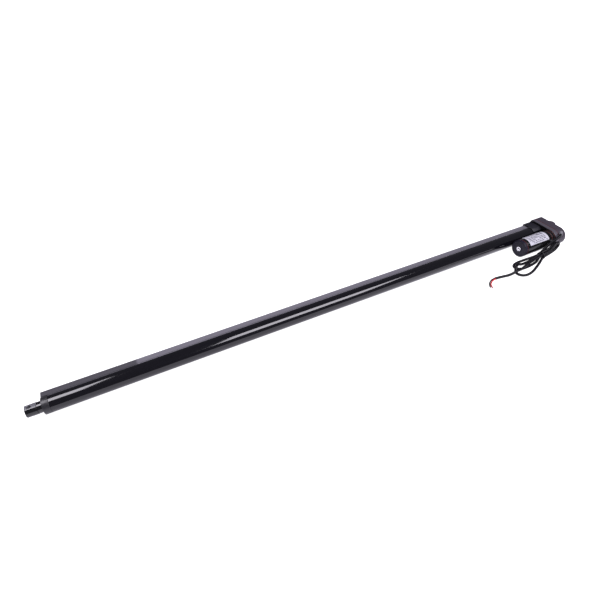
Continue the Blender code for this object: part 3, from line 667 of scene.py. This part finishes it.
def make_motor():
    radius = MOTOR_RADIUS
    front, rear = reach("motor_end_cap")
    face, back, wall, hub = front + 0.7, front + 3.4, 17.8, 5.9
    cap = turned("end_cap_cup", [
        (radius, rear), (radius, front), (16.3, front), (15.7, face), (hub, face), (hub, back),
        (wall, back), (wall, rear),
    ], CAP_PLASTIC, MOTOR_AXIS, 120, 0.55)
    stands_for(cap, "housing", "dark_plastic", "motor_end_cap")

    front, rear = reach("motor_end_bearing")
    outer, inner = 5.4, 1.9
    boss = turned("end_cap_boss", [
        (outer, rear), (outer, front), (3.3, front), (inner, front + 1.2), (inner, rear),
    ], BRIGHT, MOTOR_AXIS, 96, 0.5)
    stands_for(boss, "housing", "bright_steel", "motor_end_bearing")

    front, rear = reach("motor_can")
    can = ring("motor_can_shell", 18.2, radius, front, rear, GLOSS_BLACK, MOTOR_AXIS, 144, 0.5)
    stands_for(can, "housing", "black_paint", "motor_can")

    front, rear = reach("motor_flange")
    wall, back, bearing_seat = 18, 1115, 5.3
    flange = turned("motor_flange_casting", [
        (radius, rear), (radius, front), (wall, front), (wall, back), (bearing_seat, back),
        (bearing_seat, rear),
    ], GLOSS_BLACK, MOTOR_AXIS, 144, 0.45)
    stands_for(flange, "housing", "black_paint", "motor_flange")

    for name, node, inner in (
        ("end_cap_seal", "end_cap_gasket", 17.9), ("flange_seal", "flange_gasket", 17.9),
        ("motor_seal", "motor_gasket", 7.0),
    ):
        x0, x1 = reach(node)
        seal = ring(name, inner, half_height_of(node), x0, x1, GASKET, MOTOR_AXIS, 144, 0.3)
        stands_for(seal, "housing", "red_rubber", node)


LABEL_FROM, LABEL_TO = 50.0, 143.0


def curved_patch(work, x0, x1, start, end, inner, outer):
    """A thin patch bent round the motor: from x0 to x1 along it, and start to end in degrees."""
    count = max(3, round(abs(end - start) / 2) + 1)
    grid = []
    for x in (x0, x1):
        for radius in (inner, outer):
            grid.append([
                work.verts.new((x, u, w)) for u, w in arc(MOTOR_AXIS, radius, start, end, count)
            ])
    low_front, high_front, low_rear, high_rear = grid
    for i in range(count - 1):
        for a, b in (
            (high_front, high_rear), (low_rear, low_front), (low_front, high_front),
            (high_rear, low_rear),
        ):
            work.faces.new((a[i], a[i + 1], b[i + 1], b[i]))
    for i in (0, count - 1):
        work.faces.new((low_front[i], high_front[i], high_rear[i], low_rear[i]))


def make_label():
    x0, x1 = reach("motor_label")
    inner, outer, margin = MOTOR_RADIUS + 0.2, MOTOR_RADIUS + 0.45, 4
    work = bmesh.new()
    curved_patch(work, x0, x1, LABEL_FROM, LABEL_TO, inner, outer)
    label = placed("motor_label_film", work, FILM)
    stands_for(label, "housing", "label", "motor_label")

    # Rows of plain dashes stand for print; beside the lower ones, two columns of plain bars
    chance = random.Random(7)
    work = bmesh.new()
    raised = outer + 0.03
    rows, full_rows, row_step, dash_width = 8, 4, 10.6, 4.4
    for row in range(rows):
        angle = LABEL_TO - 8 - row * row_step
        x = x0 + margin
        stop = x1 - margin if row < full_rows else x1 - 26
        while x < stop - 2:
            long = chance.choice((3.2, 4.4, 6.0, 8.0))
            if chance.random() < 0.85:
                end = min(x + long, stop)
                curved_patch(work, x, end, angle, angle - dash_width, outer, raised)
            x += long + chance.choice((0.9, 1.3, 2.2))
    bar_length, bar_step, bar_width = 7.5, 8, 6
    for x in (x1 - 23, x1 - 12):
        for level, share in enumerate((1.0, 0.6, 0.85)):
            angle = LABEL_TO - 56 - level * bar_step
            curved_patch(work, x, x + bar_length * share, angle, angle - bar_width, outer, raised)
    marks = placed("motor_label_print", work, INK)
    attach(marks, "housing")


# Gearbox

SCREW_PLACES = [(16.8, 14.2), (16.8, -14.2), *arc(MOTOR_AXIS, 14.5, 110, 250, 2)]
WHEEL_AXIS = (MOTOR_AXIS[0] + 14, 0)
SCREW_HOLE_RADIUS, PIN_SEAT_RADIUS = 1.9, 2.3
GEAR_ROOM_START = 1123
GEARBOX_WALL = 3
PAST_PARTING = 1135               # cutters of the front casting and the gasket end here
BEFORE_PARTING = 1130             # and those of the rear casting start here


def screw_holes(x0, x1):
    return [
        rod(f"hole_{i}", SCREW_HOLE_RADIUS, x0, x1, centre=place, steps=32)
        for i, place in enumerate(SCREW_PLACES)
    ]


def gear_room():
    return extruded("gear_room", cavity_outline(), GEAR_ROOM_START, GEARBOX_REAR - GEARBOX_WALL)


def ends_in_painted_shade(_, normal):
    """The castings' ends towards the rod, smoother and darker than their painted sides: painted
    shade, since little light reaches these ends and the gap round the tube.
    """
    return normal.x < -0.5


def make_adapter():
    x0, x1 = reach("tube_adapter")
    adapter = extruded("adapter_casting", adapter_outline(), x0, x1, ADAPTER_PAINT, 0.4, 0.3)
    carved(
        adapter,
        extruded("socket", keyhole(CLEARANCE), x0 - PAST, TUBE_LENGTH + CLEARANCE),
        rod("bearing_seat", 10.8, TUBE_LENGTH - PAST, x1 + PAST),
    )
    # The adapter's end towards the rod takes the dark gloss as painted shade
    refaced(adapter, GLOSS_BLACK, ends_in_painted_shade)
    stands_for(adapter, "housing", "black_paint", "tube_adapter")


def make_lug():
    """The rear lug, an outline in the (x, u) plane drawn out along w."""
    pin_x, half, root = REAR_HOLE_X, LUG_HALF_HEIGHT, GEARBOX_REAR - 1.5
    outline = [(pin_x + a, b) for a, b in arc((0, 0), LUG_RADIUS, -90, 90, 40)]
    outline += [(root, LUG_RADIUS), (root, -LUG_RADIUS)]
    work = bmesh.new()
    levels = [[work.verts.new((x, u, w)) for x, u in outline] for w in (-half, half)]
    for i in range(len(outline)):
        j = (i + 1) % len(outline)
        work.faces.new((levels[0][i], levels[0][j], levels[1][j], levels[1][i]))
    caps = [work.faces.new(level) for level in levels]
    bmesh.ops.recalc_face_normals(work, faces=work.faces)
    edges = [edge for cap in caps for edge in cap.edges]
    bmesh.ops.bevel(work, geom=edges, offset=1.0, segments=4, profile=0.5, affect="EDGES")
    return placed("lug", work, PAINT_DARK)


def make_gearbox():
    x0, x1 = reach("gearbox_front_housing")
    screws_start, wall_from, wall_to = 1121.5, 1119, 1124
    front = extruded("gearbox_front_casting", gearbox_outline(), x0, x1, PAINT, 1.0, 0.25)
    carved(
        front, gear_room(), *screw_holes(screws_start, PAST_PARTING),
        rod("pin_seat", PIN_SEAT_RADIUS, 1120.6, PAST_PARTING, centre=WHEEL_AXIS),
        rod("journal_hole", 4.8, wall_from, wall_to),
        rod("shaft_hole", 3.0, wall_from, wall_to, centre=MOTOR_AXIS),
    )
    # The front casting's end towards the rod takes the dark gloss as painted shade
    refaced(front, GLOSS_BLACK, ends_in_painted_shade)
    stands_for(front, "housing", "black_paint", "gearbox_front_housing")

    x0, x1 = reach("gearbox_gasket")
    gasket = extruded("gearbox_seal", gearbox_outline(0.1), x0, x1, GASKET, 0.1, 0.1, 2)
    carved(gasket, gear_room(), *screw_holes(screws_start, PAST_PARTING))
    stands_for(gasket, "housing", "red_rubber", "gearbox_gasket")

    x0 = reach("gearbox_rear_cover")[0]
    rear = extruded(
        "gearbox_rear_casting", gearbox_outline(), x0, GEARBOX_REAR, PAINT_DARK, 0.25, 1.2, 5
    )
    lug = make_lug()
    gland_hole = rod("gland_hole", 4.4, -8, 8, steps=48)
    slanted(gland_hole, *gland_place())
    carved(
        rear, gear_room(), *screw_holes(BEFORE_PARTING, GEARBOX_REAR + PAST), gland_hole,
        rod("pin_seat", PIN_SEAT_RADIUS, BEFORE_PARTING, GEARBOX_REAR - 0.6, centre=WHEEL_AXIS),
        rod("bush_seat", 7.3, GEARBOX_REAR - 4, GEARBOX_REAR + PAST),
        standing_pin(
            "pin_hole", PIN_HOLE_RADIUS, REAR_HOLE_X, LUG_HALF_HEIGHT + 4, LUG_HALF_HEIGHT
        ),
        join=(lug,),
    )
    stands_for(rear, "housing", "black_paint", "gearbox_rear_cover")


def make_cover_screws():
    x0, x1 = reach("cover_screw_1")
    head, shank, seat = 3.4, 1.6, GEARBOX_REAR + CLEARANCE
    for number, place in enumerate(SCREW_PLACES, 1):
        screw = turned(f"cover_screw_fitted_{number}", [
            (0, x1), (head, x1), (head, seat), (shank, seat), (shank, x0), (0, x0),
        ], STEEL, place, 48, 0.6)
        socket_cut = extruded("hex", circle(place, 1.75, 6), x1 - 1.6, x1 + PAST)
        carved(screw, socket_cut)
        stands_for(screw, "housing", "steel", f"cover_screw_{number}")


# Cable, gland, tie and bare wires

def gland_place():
    """Where the cable leaves the rear cover, and in which direction, in the actuator's axes."""
    angle = math.radians(130)
    u = MOTOR_AXIS[0] + GEARBOX_HALF_HEIGHT * math.cos(angle)
    w = MOTOR_AXIS[1] + GEARBOX_HALF_HEIGHT * math.sin(angle)
    return Vector((1140.0, u, w)), Vector((-0.80, -0.55, 0.24)).normalized()


def slanted(obj, place, direction):
    """Moves a piece made along the tube's axis, from x = 0, to place and along direction."""
    turn = direction.to_track_quat("X", "Z").to_matrix().to_4x4()
    in_axes = Matrix.Translation(place) @ turn
    obj.data.transform(TO_WORLD @ in_axes @ TO_WORLD.inverted())


def strand(name, path, radius, look, sides=6):
    """A round wire along points of the actuator's axes."""
    curve = bpy.data.curves.new(name, "CURVE")
    curve.dimensions = "3D"
    curve.bevel_depth = radius * MM
    curve.bevel_resolution = sides
    curve.use_fill_caps = True
    spline = curve.splines.new("POLY")
    spline.points.add(len(path) - 1)
    for point, place in zip(spline.points, path):
        point.co = (*(TO_WORLD @ place), 1)
    spline.use_smooth = True
    curve.materials.append(look)
    obj = bpy.data.objects.new(name, curve)
    bpy.context.scene.collection.objects.link(obj)
    return obj


def make_gland():
    """A tapering sleeve with grooves round it, its start inside the cover."""
    root, taper, depth, start = 4.1, 0.035, 0.35, -4.5
    grooves = []
    for x in (1.0, 3.6, 6.2, 8.8, 11.4, 14.0):
        top = root - taper * x
        grooves += [(top, x), (top - depth, x + 0.25), (top - depth, x + 0.9), (top, x + 1.1)]
    outside = [(root, start), *grooves, (3.5, GLAND_LENGTH - 0.6), (3.3, GLAND_LENGTH)]
    profile = [(0, GLAND_LENGTH), *reversed(outside), (0, start)]
    gland = turned("cable_gland_ribbed", profile, GLAND, steps=64, soft=0.12)
    slanted(gland, *gland_place())
    return stands_for(gland, "housing", "black_rubber", "cable_gland")


def make_tie():
    """A flat tie round the cable's five strands, its ends twisted together on top."""
    # The four strands at the bundle's corners, and the degrees that the tie goes round each
    corners = ((-72.9, -16.3), (-60.0, -16.3), (-63.15, -10.7), (-69.6, -10.7))
    spans = ((150, 270), (270, 390), (30, 90), (90, 150))
    loops = []
    for radius in (CABLE_RADIUS + 0.85, CABLE_RADIUS + 0.35):
        loop = []
        for corner, (start, end) in zip(corners, spans):
            loop += arc(corner, radius, start, end, 14)
        loops.append(loop)
    half_width = 1.5
    band = extruded(
        "tie_band", loops[0], TIE_X - half_width, TIE_X + half_width, TIE_PLASTIC, 0.2, 0.2, 2
    )
    carved(band, extruded("inside", loops[1], TIE_X - 3, TIE_X + 3))
    stands_for(band, "housing", "dark_plastic", "cable_tie")
    top = Vector((TIE_X, -66.3, -10.7 + CABLE_RADIUS + 0.9))
    length, drift, rise, parting = 7.0, 1.5, 1.6, 0.7
    tails, last = [], 39
    for name, phase in (("tie_tail_1", 0.0), ("tie_tail_2", math.pi)):
        path = []
        for i in range(last + 1):
            t = i / last
            turn = phase + t * 4 * math.pi
            spread = 0.45 + max(0.0, t - parting) * 3
            across, up = spread * math.cos(turn), spread * math.sin(turn)
            path.append(top + Vector((-t * length, across + t * drift, 0.4 + t * rise + up)))
        tail = strand(name, path, 0.4, TIE_PLASTIC, 3)
        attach(tail, "housing")
        tails.append(tail)
    return [band, *tails]


def make_cable():
    path = smooth_path(CABLE_ROUTE, CABLE_STEP)
    cable = strand("cable_flex", path, CABLE_RADIUS, SHEATH)
    stands_for(cable, "housing", "black_rubber", "cable")
    pieces = [make_gland(), *make_tie()]
    end, heading = path[-1], (path[-1] - path[-2]).normalized()
    hidden, tip_radius = 1.5, WIRE_RADIUS * 0.62
    for name, route, look, slot in (
        ("black_wire", BLACK_ROUTE, SHEATH, "black_rubber"),
        ("red_wire", RED_ROUTE, RED_PVC, "red_wire"),
    ):
        points = smooth_path(route, WIRE_STEP)
        inside = Vector((end.x, points[0].y, points[0].z)) - heading * hidden
        wire = strand(f"{name}_insulation", [inside, *points], WIRE_RADIUS, look, 5)
        pieces.append(stands_for(wire, "housing", slot, name))
        way = (points[-1] - points[-2]).normalized()
        strip = [points[-1] - way * 0.5, points[-1] + way * (TINNED_LENGTH + 0.3)]
        tip = strand(f"{name}_strands", strip, tip_radius, TINNED, 4)
        pieces.append(stands_for(tip, "housing", "tin", f"{name}_tip"))


# CAD nodes that stay as they are

KEPT = {
    RUBBER: ["rod_wiper"],
    NYLON: ["guide_bush", "output_gear"],
    PLASTIC: ["channel_plug", "front_limit_switch", "rear_limit_switch", "brush_plate"],
    BOARD: ["limit_switch_strip"],
    BRIGHT: ["screw_bearing", "motor_front_bearing"],
    BRASS: ["rear_bush", "drive_nut"],
    STEEL: [
        "intermediate_pin", "intermediate_gear", "lead_screw", "screw_end_washer", "gear_circlip",
        "armature_core", "motor_shaft", "motor_pinion",
    ],
    FERRITE: ["magnet_upper", "magnet_lower"],
    CARBON: ["brush_near", "brush_far"],
    COPPER: ["winding_front", "winding_rear", "commutator"],
}


def dress_kept_nodes():
    for look, names in KEPT.items():
        for name in names:
            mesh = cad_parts[name].data
            mesh.materials.clear()
            mesh.materials.append(look)


# Table and light

TABLE_RADIUS = 14                 # metres
TABLE_DROP = 0.0002               # metres, so that no face lies exactly in the table's
PANEL_RADIANCE = 8.4
PANEL_COLOUR = (0.95, 0.92, 1.0)


def make_floor():
    """A white table, a little less bright in what it lights and where it is mirrored."""
    work = bmesh.new()
    bmesh.ops.create_circle(work, cap_ends=True, segments=96, radius=TABLE_RADIUS)
    mesh = bpy.data.meshes.new("table")
    work.to_mesh(mesh)
    work.free()
    white = bpy.data.materials.new("table_white")
    white.use_nodes = True
    nodes, links = white.node_tree.nodes, white.node_tree.links
    shader = nodes["Principled BSDF"]
    socket(shader, "Base Color", (0.5, 0.5, 0.5, 1))
    socket(shader, "Roughness", 0.9)
    socket(shader, "Emission Color", (1, 1, 1, 1))
    socket(shader, "Emission Strength", 1.05)
    mirrored = nodes.new("ShaderNodeBsdfDiffuse")
    socket(mirrored, "Color", (0.4, 0.4, 0.43, 1))
    glow = nodes.new("ShaderNodeEmission")
    socket(glow, "Color", (0.93, 0.9, 1.0, 1))
    socket(glow, "Strength", 0.72)
    dimmer = nodes.new("ShaderNodeAddShader")
    path = nodes.new("ShaderNodeLightPath")
    choose = nodes.new("ShaderNodeMixShader")
    links.new(mirrored.outputs[0], dimmer.inputs[0])
    links.new(glow.outputs[0], dimmer.inputs[1])
    links.new(path.outputs["Is Camera Ray"], choose.inputs[0])
    links.new(dimmer.outputs[0], choose.inputs[1])
    links.new(shader.outputs[0], choose.inputs[2])
    links.new(choose.outputs[0], nodes["Material Output"].inputs["Surface"])
    mesh.materials.append(white)
    table = bpy.data.objects.new("table", mesh)
    table.location.z = -TABLE_DROP
    bpy.context.scene.collection.objects.link(table)


def ceiling_panel(name, centre, size, turn):
    """A rectangular light that faces down, at a place in the actuator's axes, turned about w."""
    data = bpy.data.lights.new(name, "AREA")
    data.shape = "RECTANGLE"
    data.size, data.size_y = (side * MM for side in size)
    data.energy = PANEL_RADIANCE * math.pi * data.size * data.size_y
    data.color = PANEL_COLOUR
    light = bpy.data.objects.new(name, data)
    light.location = TO_WORLD @ Vector(centre)
    light.rotation_euler.z = math.radians(turn)
    bpy.context.scene.collection.objects.link(light)


def make_light():
    """Two ceiling panels in a dim room, with plain white where the camera looks past the table."""
    ceiling_panel("panel_left", (-832, 85, 2200), (1335, 1270), -9.5)
    ceiling_panel("panel_right", (1800, -1500, 2200), (1900, 1700), 0)
    world = bpy.data.worlds.new("studio")
    world.use_nodes = True
    nodes, links = world.node_tree.nodes, world.node_tree.links
    dim = nodes["Background"]
    socket(dim, "Color", (0.132, 0.127, 0.152, 1))
    backdrop = nodes.new("ShaderNodeBackground")
    path = nodes.new("ShaderNodeLightPath")
    choose = nodes.new("ShaderNodeMixShader")
    links.new(path.outputs["Is Camera Ray"], choose.inputs[0])
    links.new(dim.outputs[0], choose.inputs[1])
    links.new(backdrop.outputs[0], choose.inputs[2])
    socket(backdrop, "Color", (1, 1, 1, 1))
    links.new(choose.outputs[0], nodes["World Output"].inputs["Surface"])
    bpy.context.scene.world = world
    bpy.context.scene.view_settings.view_transform = "Standard"


add_camera()
make_cable()
make_tube()
make_rod()
make_motor()
make_label()
make_adapter()
make_gearbox()
make_cover_screws()
dress_kept_nodes()
make_floor()
make_light()
